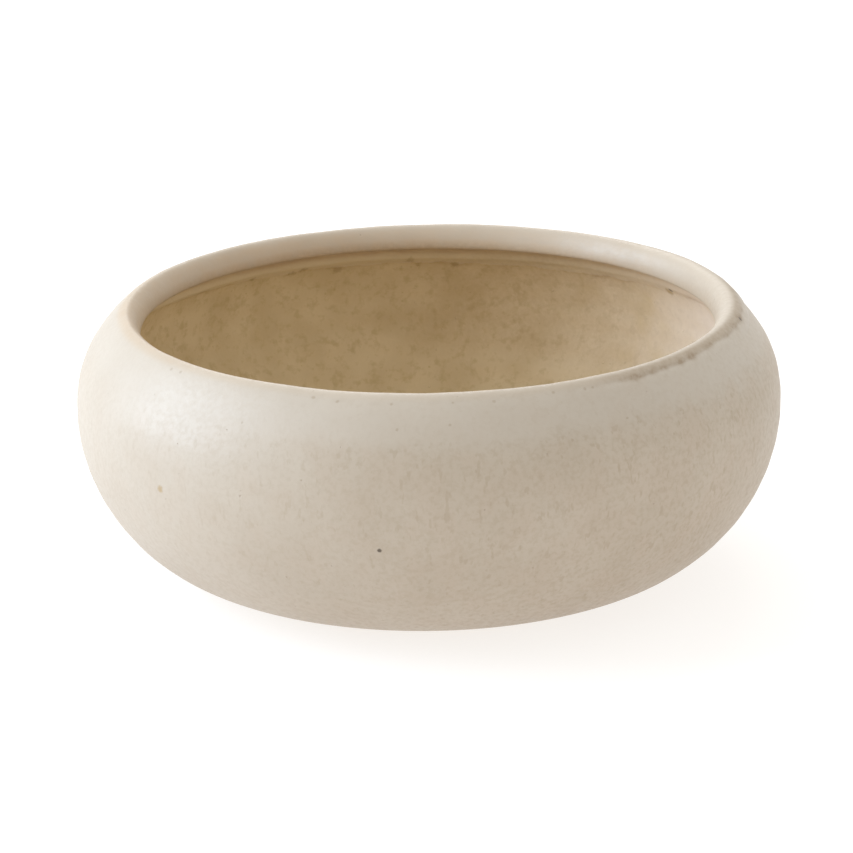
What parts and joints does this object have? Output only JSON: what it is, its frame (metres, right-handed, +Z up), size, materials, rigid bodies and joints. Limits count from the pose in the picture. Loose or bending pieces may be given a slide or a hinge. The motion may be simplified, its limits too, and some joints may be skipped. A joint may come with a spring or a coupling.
{
  "type": "bonsai pot",
  "caption": "Low round hand-thrown stoneware bonsai pot with a swelling belly, a rolled rim that turns in, a notched foot ring, and a mesh drain screen held by a bent wire clip.",
  "frame": {"origin": "centre of the circle that the foot ring stands on", "axes": "+Z up along the pot's turning axis; the pot is round, so +X and +Y are free, and the screen's sides and the clip's legs lie along them"},
  "size_m": [0.2, 0.2, 0.0778],
  "materials": {
    "cream_glaze": "satin",
    "bare_stoneware": "matte",
    "black_mesh": "satin",
    "clip_wire": "satin"
  },
  "bodies": {
    "pot": {"bowl": "cream_glaze", "rim_ring": "cream_glaze", "foot_ring": "bare_stoneware"},
    "screen": {"drain_screen": "black_mesh"},
    "clip": {"screen_clip": "clip_wire"}
  },
  "joints": [
    {"name": "screen_lift", "type": "slide", "parent": "pot", "child": "screen", "axis": [0, 0, 1], "range_m": [0, 0.09]},
    {"name": "clip_lift", "type": "slide", "parent": "screen", "child": "clip", "axis": [0, 0, 1], "range_m": [0, 0.09]}
  ]
}
